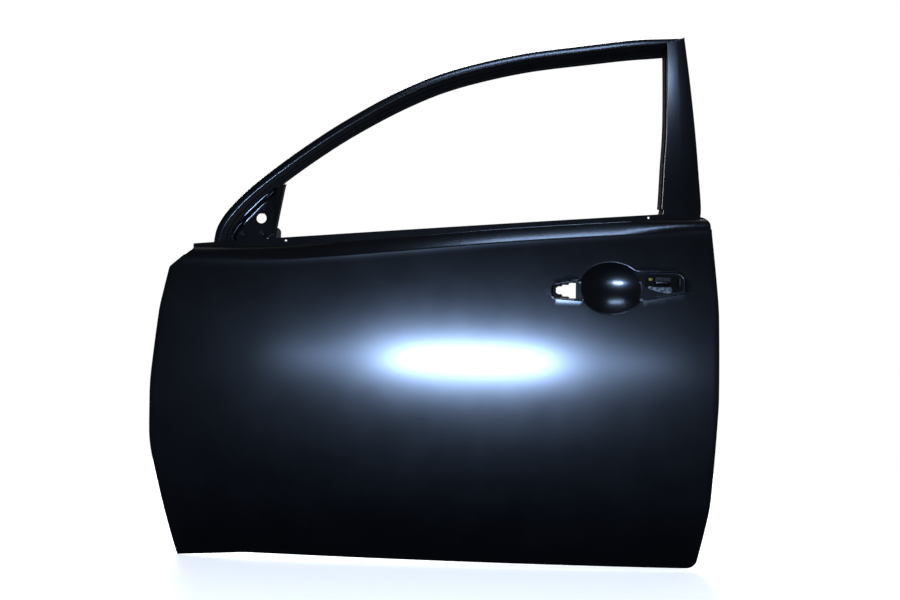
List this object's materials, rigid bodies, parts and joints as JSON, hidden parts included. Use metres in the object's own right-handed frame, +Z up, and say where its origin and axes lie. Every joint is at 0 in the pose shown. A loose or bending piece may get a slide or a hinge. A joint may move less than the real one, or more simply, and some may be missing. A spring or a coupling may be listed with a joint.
{
  "type": "car door shell",
  "caption": "Bare left front door shell of a two-door car: hemmed outer skin, pressed inner panel, welded window frame and side-impact beam.",
  "frame": {"origin": "centre of the upper hinge's seat on the front shut wall", "axes": "+X from the hinge edge to the latch edge, +Y from the outside into the cabin, +Z up"},
  "size_m": [1.2103, 0.2354, 1.1826],
  "materials": {
    "primer": "satin black dip primer on sheet steel",
    "zinc": "zinc plated",
    "foam": "matt sealing foam"
  },
  "bodies": {
    "root": {"outer_panel": "primer", "inner_panel": "primer", "header_sash": "primer", "pillar_sash": "primer", "front_run_channel": "primer", "rear_run_channel": "primer", "front_run_bracket": "primer", "rear_run_bracket": "primer", "mirror_bracket": "primer", "mirror_reinforcement": "primer", "mirror_nut_1": "zinc", "mirror_nut_2": "zinc", "mirror_nut_3": "zinc", "belt_end_pad": "foam", "belt_reinforcement_outer": "primer", "belt_reinforcement_inner": "primer", "impact_beam": "primer", "beam_bracket_front": "primer", "beam_bracket_rear": "primer", "hinge_reinforcement_upper": "primer", "hinge_reinforcement_lower": "primer", "hinge_nut_upper_1": "zinc", "hinge_nut_upper_2": "zinc", "hinge_nut_lower_1": "zinc", "hinge_nut_lower_2": "zinc", "check_reinforcement": "primer", "latch_reinforcement": "primer", "handle_reinforcement": "primer", "lock_bracket": "zinc", "panel_stiffener": "primer"}
  },
  "joints": []
}
